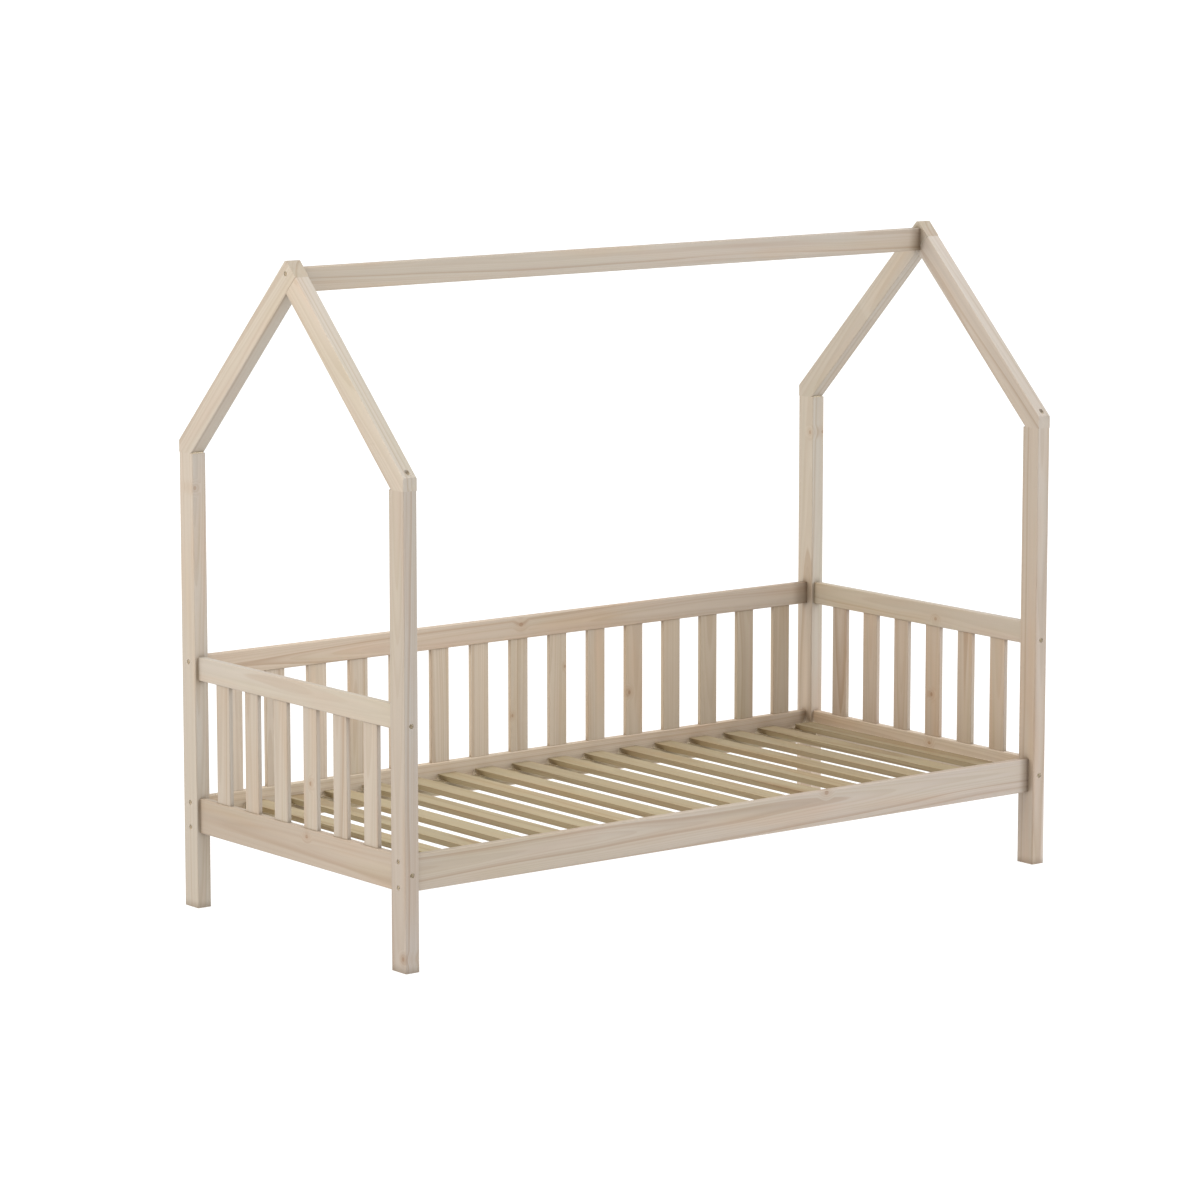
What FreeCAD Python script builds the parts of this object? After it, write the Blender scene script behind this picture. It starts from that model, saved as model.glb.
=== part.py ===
import FreeCAD, Part
import os

import Sketcher

# House frame bed: four posts carry two gable ends joined by a ridge beam. A slatted
# base hangs between a low front rail and three fences of upright slats.
#
# Frame: X runs along the bed, Y from the open front (-Y) to the back (+Y), Z up.
# The origin is on the floor, under the middle of the bed. Millimetres.

DIMENSIONS = [
    # overall
    ("inner_length", 2000),        # between the left and the right posts
    ("outer_width", 972),          # over the front and the rear posts
    ("post_height", 1166),         # floor to the seat under a rafter
    # timber sections
    ("post_width", 40),            # along X
    ("post_depth", 60),            # along Y
    ("rafter_width", 60),          # square to the slope
    ("rafter_thickness", 40),      # along X
    ("ridge_width", 27),
    ("ridge_height", 60),
    ("rail_thickness", 20),
    ("low_rail_height", 90),
    ("top_rail_height", 60),
    ("fence_slat_width", 58),
    ("fence_slat_thickness", 12),
    ("bed_slat_width", 60),
    ("bed_slat_thickness", 15),
    ("cleat_width", 45),
    ("cleat_height", 30),
    # heights and spacing
    ("low_rail_bottom", 194),
    ("top_rail_bottom", 587.5),
    ("bed_slat_drop", 30),         # slat top below the top of the low rails
    ("bed_slat_margin", 8),        # end rail to the outer bed slat
    ("eave_rise", 32),             # plumb face at the foot of a rafter
    ("apex_flat", 10),             # level cut across the top of a gable
    ("ridge_drop", 17),            # ridge beam top below the top of the gable
    ("back_slat_margin", 60.3),    # post to the first slat of the back fence
    ("end_slat_margin", 74.5),     # post to the first slat of an end fence
    # roundings
    ("frame_rounding", 3),
    ("slat_rounding", 2),
    # joints and clearances
    ("housing_depth", 8),          # fence slat end in its mortise
    ("housing_play", 0.2),         # around a fence slat, on each side
    ("housing_end_play", 1),       # above the upper end of a fence slat
    ("slat_end_play", 1.5),        # between a bed slat's end and the rail or post
    ("cleat_end_play", 2),
    ("bore_play", 0.1),            # around a screw or a dowel
    ("bore_end_play", 1),          # past the tip of a screw or a dowel
    # connecting screws
    ("screw_shank", 7),
    ("screw_length", 70),
    ("screw_head", 10),
    ("screw_head_height", 5),
    ("screw_socket", 5),
    ("head_bore", 12.5),
    ("end_bore_depth", 12),        # head bore in a post's outer X face
    ("side_bore_depth", 25),       # head bore in a post's outer Y face
    ("screw_edge", 13),            # low rail screw to the rail's upper or lower edge
    ("top_screw_edge", 14.5),      # top rail screw to one edge of the rail
    ("foot_screw_inset", 12),      # foot screw to the outer face of the rafter
    ("foot_under_head", 24),       # timber under the foot screw's head
    ("ridge_screw_edge", 14),      # ridge screw below the top of the ridge beam
    ("apex_screw_offset", 6.5),    # apex screw inside the middle of the front rafter
    ("apex_dowel_offset", 17),     # apex dowel outside the middle of the front rafter
    # dowels
    ("dowel_diameter", 8),
    ("dowel_length", 36),
    ("dowel_in_post", 12),
    # small wood screws
    ("small_shank", 4),
    ("small_head", 8),
    ("small_head_height", 3),
    ("small_socket", 3),
    ("slat_screw_length", 36),
    ("slat_screw_inset", 12),      # slat screw to the inner face of the cleat
    ("slat_screw_bite", 10),       # screw tip up into the bed slat
    ("cleat_screw_length", 50),
    ("cleat_screw_bite", 14),      # screw tip into the rail
]

BACK_SLATS = 15
END_SLATS = 6
BED_SLATS = 17
CLEAT_SCREW_STEPS = (-6.5, -4.5, -2.5, -0.5, 0.5, 2.5, 4.5, 6.5)

LEFT, RIGHT = -1, 1
FRONT, BACK = -1, 1
SIDE_NAMES = {LEFT: "left", RIGHT: "right"}
ROW_NAMES = {FRONT: "front", BACK: "rear"}
ROOF_ANGLE = 45
PARALLEL = 1e-6
LEAST_CUT = 1e-3

# Derived sizes and places, as formulas on the sheet.
HALF_LENGTH = "(Dims.inner_length / 2)"
HALF_WIDTH = "(Dims.outer_width / 2)"
POST_X = f"({HALF_LENGTH} + Dims.post_width / 2)"
POST_Y = f"({HALF_WIDTH} - Dims.post_depth / 2)"
POST_INNER_Y = f"({HALF_WIDTH} - Dims.post_depth)"
POST_OUTER_X = f"({HALF_LENGTH} + Dims.post_width)"
END_RAIL_INNER_X = f"({POST_X} - Dims.rail_thickness / 2)"
LONG_RAIL_INNER_Y = f"({POST_Y} - Dims.rail_thickness / 2)"
LOW_RAIL_TOP = "(Dims.low_rail_bottom + Dims.low_rail_height)"
LOW_RAIL_MIDDLE = "(Dims.low_rail_bottom + Dims.low_rail_height / 2)"
TOP_RAIL_TOP = "(Dims.top_rail_bottom + Dims.top_rail_height)"
BED_SLAT_TOP = f"({LOW_RAIL_TOP} - Dims.bed_slat_drop)"
BED_SLAT_BOTTOM = f"({BED_SLAT_TOP} - Dims.bed_slat_thickness)"
CLEAT_BOTTOM = f"({BED_SLAT_BOTTOM} - Dims.cleat_height)"
CLEAT_INNER_Y = f"({LONG_RAIL_INNER_Y} - Dims.cleat_width)"
BED_SLAT_PITCH = (
    f"((2 * {END_RAIL_INNER_X} - 2 * Dims.bed_slat_margin - Dims.bed_slat_width)"
    f" / {BED_SLATS - 1})"
)
BACK_SLAT_PITCH = (
    "((Dims.inner_length - 2 * Dims.back_slat_margin - Dims.fence_slat_width)"
    f" / {BACK_SLATS - 1})"
)
END_SLAT_PITCH = (
    f"((2 * {POST_INNER_Y} - 2 * Dims.end_slat_margin - Dims.fence_slat_width)"
    f" / {END_SLATS - 1})"
)
EAVE_TOP = "(Dims.post_height + Dims.eave_rise)"
APEX_POINT = f"({EAVE_TOP} + {HALF_WIDTH})"
RAFTER_DROP = "(Dims.rafter_width * sqrt(2))"
RAFTER_STEP = "(Dims.rafter_width / sqrt(2))"
RIDGE_TOP = f"({APEX_POINT} - Dims.apex_flat / 2 - Dims.ridge_drop)"
SCREW_BORE = "(Dims.screw_shank + 2 * Dims.bore_play)"
DOWEL_BORE = "(Dims.dowel_diameter + 2 * Dims.bore_play)"
SMALL_BORE = "(Dims.small_shank + 2 * Dims.bore_play)"
SMALL_HEAD_BORE = "(Dims.small_head + 2 * Dims.bore_play)"
CLEAT_SCREW_SINK = "(Dims.cleat_width + Dims.cleat_screw_bite - Dims.cleat_screw_length)"
SLAT_SCREW_SINK = "(Dims.cleat_height + Dims.slat_screw_bite - Dims.slat_screw_length)"

document = FreeCAD.newDocument("HouseFrameBed")
sheet = document.addObject("Spreadsheet::Sheet", "Dims")
for row, (alias, number) in enumerate(DIMENSIONS, start=1):
    sheet.set(f"A{row}", alias)
    sheet.set(f"B{row}", str(number))
    sheet.setAlias(f"B{row}", alias)
document.recompute()

nodes = []


def value(formula):
    """The number that a formula on the sheet gives."""
    return float(sheet.evalExpression(str(formula)))


def mirrored(side, formula):
    """A place on the left or front (-1) or on the right or back (+1)."""
    return f"({side} * {formula})"


# ---------------------------------------------------------------- sketches and features

def plane_of(body, role):
    for feature in body.Origin.OriginFeatures:
        if feature.Role == role:
            return feature
    raise ValueError(f"no plane {role}")


def bind_point(sketch, geometry, end, name, across, up):
    """Ties one point of a sketch to the sketch's origin by two sheet formulas."""
    for axis, formula in (("DistanceX", across), ("DistanceY", up)):
        constraint = Sketcher.Constraint(axis, -1, 1, geometry, end, value(formula))
        number = sketch.addConstraint(constraint)
        label = f"{name}_{axis[-1].lower()}"
        sketch.renameConstraint(number, label)
        sketch.setExpression(f"Constraints.{label}", formula)


def new_sketch(body, name, plane, offset):
    """An empty sketch, parallel to an origin plane and moved along its normal."""
    sketch = body.newObject("Sketcher::SketchObject", name)
    sketch.AttachmentSupport = [(plane_of(body, plane), "")]
    sketch.MapMode = "FlatFace"
    sketch.setExpression("AttachmentOffset.Base.z", offset)
    return sketch


def add_outline(sketch, name, points):
    """A closed outline of straight lines through points given as formulas."""
    corners = [FreeCAD.Vector(value(across), value(up), 0) for across, up in points]
    following = corners[1:] + corners[:1]
    first = sketch.GeometryCount
    count = len(corners)
    for start, end in zip(corners, following):
        sketch.addGeometry(Part.LineSegment(start, end))
    for step, (across, up) in enumerate(points):
        before = first + (step - 1) % count
        sketch.addConstraint(Sketcher.Constraint("Coincident", before, 2, first + step, 1))
        bind_point(sketch, first + step, 1, f"{name}{step}", across, up)


def add_circle(sketch, name, across, up, diameter):
    centre = FreeCAD.Vector(value(across), value(up), 0)
    circle = Part.Circle(centre, FreeCAD.Vector(0, 0, 1), value(diameter) / 2)
    number = sketch.addGeometry(circle)
    bind_point(sketch, number, 3, name, across, up)
    bound = sketch.addConstraint(Sketcher.Constraint("Diameter", number, value(diameter)))
    sketch.renameConstraint(bound, f"{name}_d")
    sketch.setExpression(f"Constraints.{name}_d", diameter)


def pad(body, sketch, length):
    """Thickens a sketch by half of the length on each side of it."""
    feature = body.newObject("PartDesign::Pad", f"{sketch.Name}_pad")
    feature.Profile = sketch
    feature.SideType = "Symmetric"
    feature.setExpression("Length", length)
    sketch.Visibility = False
    document.recompute()
    return feature


def pocket(body, sketch, depth, along_normal):
    """Cuts a sketch into the body, along the sketch's normal or against it."""
    before = body.Shape.Volume
    feature = body.newObject("PartDesign::Pocket", f"{sketch.Name}_cut")
    feature.Profile = sketch
    feature.Reversed = along_normal
    feature.setExpression("Length", depth)
    sketch.Visibility = False
    document.recompute()
    if body.Shape.Volume > before - LEAST_CUT:
        raise ValueError(f"{body.Label}: {sketch.Name} cuts nothing")
    return feature


def round_edges(body, feature, radius, direction):
    """Rounds the straight edges that run along a direction."""
    names = []
    for number, edge in enumerate(feature.Shape.Edges, start=1):
        tangent = edge.tangentAt(edge.FirstParameter)
        if abs(abs(tangent.dot(direction)) - 1) < PARALLEL:
            names.append(f"Edge{number}")
    fillet = body.newObject("PartDesign::Fillet", f"{body.Name}_rounding")
    fillet.Base = (feature, names)
    fillet.setExpression("Radius", radius)
    document.recompute()


def new_body(label):
    body = document.addObject("PartDesign::Body", label)
    body.Label = label
    nodes.append(body)
    return body


PLANES = {"x": "YZ_Plane", "y": "XZ_Plane", "z": "XY_Plane"}
NORMAL_SIGNS = {"x": 1, "y": -1, "z": 1}
DIRECTIONS = {
    "x": FreeCAD.Vector(1, 0, 0),
    "y": FreeCAD.Vector(0, 1, 0),
    "z": FreeCAD.Vector(0, 0, 1),
}


def rectangle(across, up, width, height):
    """Corners of a rectangle about a middle point, as formulas."""
    left, right = f"({across} - {width} / 2)", f"({across} + {width} / 2)"
    bottom, top = f"({up} - {height} / 2)", f"({up} + {height} / 2)"
    return [(left, bottom), (right, bottom), (right, top), (left, top)]


def board(label, along, middle, length, width, height, rounding):
    """A straight board along an axis, its four long edges rounded.

    The width and the height are across the two other axes, in the order X, Y, Z.
    """
    body = new_body(label)
    across, up = [middle[axis] for axis in "xyz" if axis != along]
    offset = f"({NORMAL_SIGNS[along]} * {middle[along]})"
    sketch = new_sketch(body, f"{label}_section", PLANES[along], offset)
    add_outline(sketch, "corner", rectangle(across, up, width, height))
    blank = pad(body, sketch, length)
    round_edges(body, blank, rounding, DIRECTIONS[along])
    return body


def bore(body, name, axis, face, inward, centres, diameter, depth):
    """Round holes along an axis, from a face at a place on that axis.

    Inward is the direction of the holes on the axis, -1 or 1. The centres are pairs of
    formulas on the two other axes, in the order X, Y, Z.
    """
    sign = NORMAL_SIGNS[axis]
    sketch = new_sketch(body, f"{body.Name}_{name}", PLANES[axis], f"({sign} * {face})")
    for number, (across, up) in enumerate(centres):
        add_circle(sketch, f"hole{number}", across, up, diameter)
    pocket(body, sketch, depth, inward == sign)


def slanted_bore(body, name, place, inward, diameter, depth):
    """A round hole square to the rear slope, from a point; inward is -1 or 1."""
    sketch = new_sketch(body, f"{body.Name}_{name}", PLANES["z"], place[2])
    tilt = FreeCAD.Rotation(FreeCAD.Vector(1, 0, 0), -ROOF_ANGLE)
    sketch.AttachmentOffset = FreeCAD.Placement(FreeCAD.Vector(), tilt)
    for axis, formula in zip("xyz", place):
        sketch.setExpression(f"AttachmentOffset.Base.{axis}", formula)
    add_circle(sketch, "hole", "0", "0", diameter)
    pocket(body, sketch, depth, inward == 1)


# ---------------------------------------------------------------- where the fasteners go

def low_long_rail_heights():
    return [f"({LOW_RAIL_TOP} - Dims.screw_edge)", "(Dims.low_rail_bottom + Dims.screw_edge)"]


BACK_TOP_SCREW = f"({TOP_RAIL_TOP} - Dims.top_screw_edge)"
BACK_TOP_DOWEL = "(Dims.top_rail_bottom + Dims.top_screw_edge)"
END_TOP_SCREW = "(Dims.top_rail_bottom + Dims.top_screw_edge)"
END_TOP_DOWEL = f"({TOP_RAIL_TOP} - Dims.top_screw_edge)"
RIDGE_SCREW = f"({RIDGE_TOP} - Dims.ridge_screw_edge)"
RIDGE_DOWEL = f"({RIDGE_TOP} - Dims.ridge_height + Dims.ridge_screw_edge)"
END_BITE = "(Dims.screw_length - Dims.post_width + Dims.end_bore_depth)"
SIDE_BITE = "(Dims.screw_length - Dims.post_depth + Dims.side_bore_depth)"
RIDGE_BITE = "(Dims.screw_length - Dims.rafter_thickness + Dims.end_bore_depth)"
APEX_BITE = "(Dims.screw_length - Dims.rafter_width + Dims.side_bore_depth)"
FOOT_Y = f"({HALF_WIDTH} - Dims.foot_screw_inset)"
DOWEL_IN_RAIL = "(Dims.dowel_length - Dims.dowel_in_post)"


def long_rail_screws(row):
    """Heights of the screws that hold the rails between the posts of one row."""
    return low_long_rail_heights() + ([BACK_TOP_SCREW] if row == BACK else [])


def end_rail_screws():
    return [LOW_RAIL_MIDDLE, END_TOP_SCREW]


def end_rail_dowels():
    return low_long_rail_heights() + [END_TOP_DOWEL]


def on_slope(plane, offset):
    """Y and Z where a line square to the rear slope meets a plane parallel to it.

    The plane is given by the height where it meets the middle of the bed, and the line
    by its distance from the middle line of the front rafter, outward.
    """
    line = f"({APEX_POINT} - {RAFTER_STEP} + {offset} * sqrt(2))"
    return f"(({plane} - {line}) / 2)", f"(({plane} + {line}) / 2)"


REAR_SLOPE = APEX_POINT
REAR_UNDERSIDE = f"({APEX_POINT} - {RAFTER_DROP})"
APEX_SCREW_OFFSET = "(-1 * Dims.apex_screw_offset)"
APEX_DOWEL_OFFSET = "(1 * Dims.apex_dowel_offset)"


# ---------------------------------------------------------------- frame

def post(side, row):
    """A post with the seats of its rails' screws and of its rafter's foot screw."""
    label = f"{ROW_NAMES[row]}_{SIDE_NAMES[side]}_post"
    middle = {"x": mirrored(side, POST_X), "y": mirrored(row, POST_Y), "z": "Dims.post_height / 2"}
    size = ("Dims.post_height", "Dims.post_width", "Dims.post_depth")
    body = board(label, "z", middle, *size, "Dims.frame_rounding")
    outer_x = mirrored(side, POST_OUTER_X)
    inner_x = mirrored(side, HALF_LENGTH)
    outer_y = mirrored(row, HALF_WIDTH)
    inner_y = mirrored(row, POST_INNER_Y)
    long_holes = [(middle["y"], height) for height in long_rail_screws(row)]
    bore(body, "end_heads", "x", outer_x, -side, long_holes, "Dims.head_bore",
         "Dims.end_bore_depth")
    bore(body, "end_shanks", "x", outer_x, -side, long_holes, SCREW_BORE, "Dims.post_width")
    side_holes = [(middle["x"], height) for height in end_rail_screws()]
    bore(body, "side_heads", "y", outer_y, -row, side_holes, "Dims.head_bore",
         "Dims.side_bore_depth")
    bore(body, "side_shanks", "y", outer_y, -row, side_holes, SCREW_BORE, "Dims.post_depth")
    dowel_depth = "(Dims.dowel_in_post + Dims.bore_end_play)"
    dowel_holes = [(middle["x"], height) for height in end_rail_dowels()]
    bore(body, "side_dowels", "y", inner_y, row, dowel_holes, DOWEL_BORE, dowel_depth)
    if row == BACK:
        top_hole = [(middle["y"], BACK_TOP_DOWEL)]
        bore(body, "end_dowels", "x", inner_x, side, top_hole, DOWEL_BORE, dowel_depth)
    foot_hole = [(middle["x"], mirrored(row, FOOT_Y))]
    foot_depth = "(Dims.screw_length - Dims.foot_under_head + Dims.bore_end_play)"
    bore(body, "foot_screw", "z", "Dims.post_height", -1, foot_hole, SCREW_BORE, foot_depth)


def rafter_outline(row):
    """Side of a rafter in Y and Z: the rear one runs through, the front one butts on it."""
    foot = mirrored(row, HALF_WIDTH)
    heel = mirrored(row, f"({APEX_POINT} - {RAFTER_DROP} - Dims.post_height)")
    butt_corner = (mirrored(FRONT, RAFTER_STEP), f"({APEX_POINT} - {RAFTER_STEP})")
    outline = [(foot, "Dims.post_height"), (foot, EAVE_TOP)]
    if row == FRONT:
        outline += [butt_corner, ("0", f"({APEX_POINT} - {RAFTER_DROP})")]
    else:
        flat_height = f"({APEX_POINT} - Dims.apex_flat / 2)"
        outline += [
            ("(Dims.apex_flat / 2)", flat_height),
            ("(-1 * Dims.apex_flat / 2)", flat_height),
            butt_corner,
        ]
    return outline + [(heel, "Dims.post_height")]


def rafter(side, row):
    """A rafter on its post's seat, drilled for the foot, ridge and apex fasteners."""
    body = new_body(f"{ROW_NAMES[row]}_{SIDE_NAMES[side]}_rafter")
    middle_x = mirrored(side, POST_X)
    sketch = new_sketch(body, f"{body.Name}_side", PLANES["x"], middle_x)
    add_outline(sketch, "corner", rafter_outline(row))
    blank = pad(body, sketch, "Dims.rafter_thickness")
    slope = FreeCAD.Vector(0, -row, 1).normalize()
    round_edges(body, blank, "Dims.frame_rounding", slope)
    foot_hole = [(middle_x, mirrored(row, FOOT_Y))]
    head_seat = "(Dims.post_height + Dims.foot_under_head)"
    above = f"({EAVE_TOP} + Dims.rafter_width)"
    bore(body, "foot_head", "z", above, -1, foot_hole, "Dims.head_bore",
         f"({above} - {head_seat})")
    bore(body, "foot_shank", "z", head_seat, -1, foot_hole, SCREW_BORE, "Dims.foot_under_head")
    if row == BACK:
        drill_rear_rafter(body, side, middle_x)
    else:
        bite = f"({APEX_BITE} + Dims.bore_end_play)"
        screw_place = (middle_x, *on_slope(REAR_UNDERSIDE, APEX_SCREW_OFFSET))
        slanted_bore(body, "apex_screw", screw_place, -1, SCREW_BORE, bite)
        dowel_place = (middle_x, *on_slope(REAR_UNDERSIDE, APEX_DOWEL_OFFSET))
        depth = f"({DOWEL_IN_RAIL} + Dims.bore_end_play)"
        slanted_bore(body, "apex_dowel", dowel_place, -1, DOWEL_BORE, depth)


def drill_rear_rafter(body, side, middle_x):
    """Holes in the end that runs through the apex: ridge screw, ridge dowel and apex."""
    outer_x = f"({middle_x} + {side} * Dims.rafter_thickness / 2)"
    inner_x = f"({middle_x} - {side} * Dims.rafter_thickness / 2)"
    bore(body, "ridge_head", "x", outer_x, -side, [("0", RIDGE_SCREW)], "Dims.head_bore",
         "Dims.end_bore_depth")
    bore(body, "ridge_shank", "x", outer_x, -side, [("0", RIDGE_SCREW)], SCREW_BORE,
         "Dims.rafter_thickness")
    depth = "(Dims.dowel_in_post + Dims.bore_end_play)"
    bore(body, "ridge_dowel", "x", inner_x, side, [("0", RIDGE_DOWEL)], DOWEL_BORE, depth)
    screw_place = (middle_x, *on_slope(REAR_SLOPE, APEX_SCREW_OFFSET))
    slanted_bore(body, "apex_head", screw_place, -1, "Dims.head_bore", "Dims.side_bore_depth")
    slanted_bore(body, "apex_shank", screw_place, -1, SCREW_BORE, "Dims.rafter_width")
    dowel_place = (middle_x, *on_slope(REAR_UNDERSIDE, APEX_DOWEL_OFFSET))
    slanted_bore(body, "apex_dowel", dowel_place, 1, DOWEL_BORE, depth)


def ridge_beam():
    middle = {"x": "0", "y": "0", "z": f"({RIDGE_TOP} - Dims.ridge_height / 2)"}
    length = f"(2 * ({POST_X} - Dims.rafter_thickness / 2))"
    body = board("ridge_beam", "x", middle, length, "Dims.ridge_width", "Dims.ridge_height",
                 "Dims.frame_rounding")
    for side in (LEFT, RIGHT):
        end = f"({side} * {length} / 2)"
        name = SIDE_NAMES[side]
        bore(body, f"{name}_screw", "x", end, -side, [("0", RIDGE_SCREW)], SCREW_BORE,
             f"({RIDGE_BITE} + Dims.bore_end_play)")
        bore(body, f"{name}_dowel", "x", end, -side, [("0", RIDGE_DOWEL)], DOWEL_BORE,
             f"({DOWEL_IN_RAIL} + Dims.bore_end_play)")


# ---------------------------------------------------------------- rails

def mortises(body, face, inward, middles, along, across_place, depth):
    """Housings for fence slats in a rail's edge, in one sketch."""
    sketch = new_sketch(body, f"{body.Name}_mortises", PLANES["z"], face)
    long_size = "(Dims.fence_slat_width + 2 * Dims.housing_play)"
    thin_size = "(Dims.fence_slat_thickness + 2 * Dims.housing_play)"
    for number, middle in enumerate(middles):
        if along == "x":
            corners = rectangle(middle, across_place, long_size, thin_size)
        else:
            corners = rectangle(across_place, middle, thin_size, long_size)
        add_outline(sketch, f"mortise{number}x", corners)
    pocket(body, sketch, depth, inward == 1)


def spread(count, pitch):
    """Middles of pieces in a row about zero, as formulas."""
    return [f"({number - (count - 1) / 2} * {pitch})" for number in range(count)]


def long_rail(label, row, bottom, height, screws, dowels):
    """A rail between the left and the right posts of one row."""
    middle = {"x": "0", "y": mirrored(row, POST_Y), "z": f"({bottom} + {height} / 2)"}
    body = board(label, "x", middle, "Dims.inner_length", "Dims.rail_thickness", height,
                 "Dims.frame_rounding")
    for side in (LEFT, RIGHT):
        end = mirrored(side, HALF_LENGTH)
        name = SIDE_NAMES[side]
        places = [(middle["y"], place) for place in screws]
        bore(body, f"{name}_screws", "x", end, -side, places, SCREW_BORE,
             f"({END_BITE} + Dims.bore_end_play)")
        if dowels:
            places = [(middle["y"], place) for place in dowels]
            bore(body, f"{name}_dowels", "x", end, -side, places, DOWEL_BORE,
                 f"({DOWEL_IN_RAIL} + Dims.bore_end_play)")
    return body


def end_rail(label, side, bottom, height, screw, dowels):
    """A rail between the front and the rear posts of one end."""
    middle = {"x": mirrored(side, POST_X), "y": "0", "z": f"({bottom} + {height} / 2)"}
    length = f"(2 * {POST_INNER_Y})"
    body = board(label, "y", middle, length, "Dims.rail_thickness", height,
                 "Dims.frame_rounding")
    for row in (FRONT, BACK):
        end = mirrored(row, POST_INNER_Y)
        name = ROW_NAMES[row]
        bore(body, f"{name}_screw", "y", end, -row, [(middle["x"], screw)], SCREW_BORE,
             f"({SIDE_BITE} + Dims.bore_end_play)")
        places = [(middle["x"], place) for place in dowels]
        bore(body, f"{name}_dowels", "y", end, -row, places, DOWEL_BORE,
             f"({DOWEL_IN_RAIL} + Dims.bore_end_play)")
    return body


def cleat_pilots(body, row):
    """Pilot holes in a low rail for the screws of its cleat."""
    face = mirrored(row, LONG_RAIL_INNER_Y)
    height = f"({CLEAT_BOTTOM} + Dims.cleat_height / 2)"
    places = [(f"({step} * {BED_SLAT_PITCH})", height) for step in CLEAT_SCREW_STEPS]
    bore(body, "cleat_screws", "y", face, row, places, SMALL_BORE,
         "(Dims.cleat_screw_bite + Dims.bore_end_play)")


TOP_MORTISE_DEPTH = "(Dims.housing_depth + Dims.housing_end_play)"


def front_side():
    rail = long_rail("front_rail", FRONT, "Dims.low_rail_bottom", "Dims.low_rail_height",
                     low_long_rail_heights(), [])
    cleat_pilots(rail, FRONT)


def back_fence():
    middles = spread(BACK_SLATS, BACK_SLAT_PITCH)
    bottom = long_rail("back_bottom_rail", BACK, "Dims.low_rail_bottom",
                       "Dims.low_rail_height", low_long_rail_heights(), [])
    mortises(bottom, LOW_RAIL_TOP, -1, middles, "x", POST_Y, "Dims.housing_depth")
    cleat_pilots(bottom, BACK)
    top = long_rail("back_top_rail", BACK, "Dims.top_rail_bottom", "Dims.top_rail_height",
                    [BACK_TOP_SCREW], [BACK_TOP_DOWEL])
    mortises(top, "Dims.top_rail_bottom", 1, middles, "x", POST_Y, TOP_MORTISE_DEPTH)
    for number, middle in enumerate(middles, start=1):
        fence_slat(f"back_fence_slat_{number:02d}", middle, POST_Y, "x")


def fence_slat(label, middle_x, middle_y, wide_axis):
    """An upright fence slat, from the floor of its lower mortise up into the top rail."""
    length = f"(Dims.top_rail_bottom - {LOW_RAIL_TOP} + 2 * Dims.housing_depth)"
    middle = {"x": middle_x, "y": middle_y, "z": f"(({LOW_RAIL_TOP} + Dims.top_rail_bottom) / 2)"}
    width, depth = "Dims.fence_slat_width", "Dims.fence_slat_thickness"
    if wide_axis == "y":
        width, depth = depth, width
    return board(label, "z", middle, length, width, depth, "Dims.slat_rounding")


def end_fence(side):
    """The low rail, the top rail and six slats of one end."""
    name = SIDE_NAMES[side]
    place = mirrored(side, POST_X)
    middles = spread(END_SLATS, END_SLAT_PITCH)
    bottom = end_rail(f"{name}_bottom_rail", side, "Dims.low_rail_bottom",
                      "Dims.low_rail_height", LOW_RAIL_MIDDLE, low_long_rail_heights())
    mortises(bottom, LOW_RAIL_TOP, -1, middles, "y", place, "Dims.housing_depth")
    top = end_rail(f"{name}_top_rail", side, "Dims.top_rail_bottom", "Dims.top_rail_height",
                   END_TOP_SCREW, [END_TOP_DOWEL])
    mortises(top, "Dims.top_rail_bottom", 1, middles, "y", place, TOP_MORTISE_DEPTH)
    slats = []
    for number, middle in enumerate(middles, start=1):
        slats.append(fence_slat(f"{name}_slat_{number}", place, middle, "y"))
        nodes.remove(slats[-1])
    group = document.addObject("Part::Compound", f"{name}_fence_slats")
    group.Label = f"{name}_fence_slats"
    group.Links = slats
    nodes.append(group)


# ---------------------------------------------------------------- slatted base

def cleat(row):
    """The bearer under the ends of the bed slats, screwed to the inside of a low rail."""
    label = "front_cleat" if row == FRONT else "back_cleat"
    middle = {
        "x": "0",
        "y": mirrored(row, f"({CLEAT_INNER_Y} + Dims.cleat_width / 2)"),
        "z": f"({CLEAT_BOTTOM} + Dims.cleat_height / 2)",
    }
    length = "(Dims.inner_length - 2 * Dims.cleat_end_play)"
    body = board(label, "x", middle, length, "Dims.cleat_width", "Dims.cleat_height",
                 "Dims.slat_rounding")
    face = mirrored(row, CLEAT_INNER_Y)
    level = [(f"({step} * {BED_SLAT_PITCH})", middle["z"]) for step in CLEAT_SCREW_STEPS]
    bore(body, "rail_heads", "y", face, row, level, SMALL_HEAD_BORE, CLEAT_SCREW_SINK)
    bore(body, "rail_shanks", "y", face, row, level, SMALL_BORE, "Dims.cleat_width")
    upright = [(middle_x, slat_screw_y(row)) for middle_x in spread(BED_SLATS, BED_SLAT_PITCH)]
    bore(body, "slat_heads", "z", CLEAT_BOTTOM, 1, upright, SMALL_HEAD_BORE, SLAT_SCREW_SINK)
    bore(body, "slat_shanks", "z", CLEAT_BOTTOM, 1, upright, SMALL_BORE, "Dims.cleat_height")


def slat_screw_y(row):
    return mirrored(row, f"({CLEAT_INNER_Y} + Dims.slat_screw_inset)")


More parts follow.
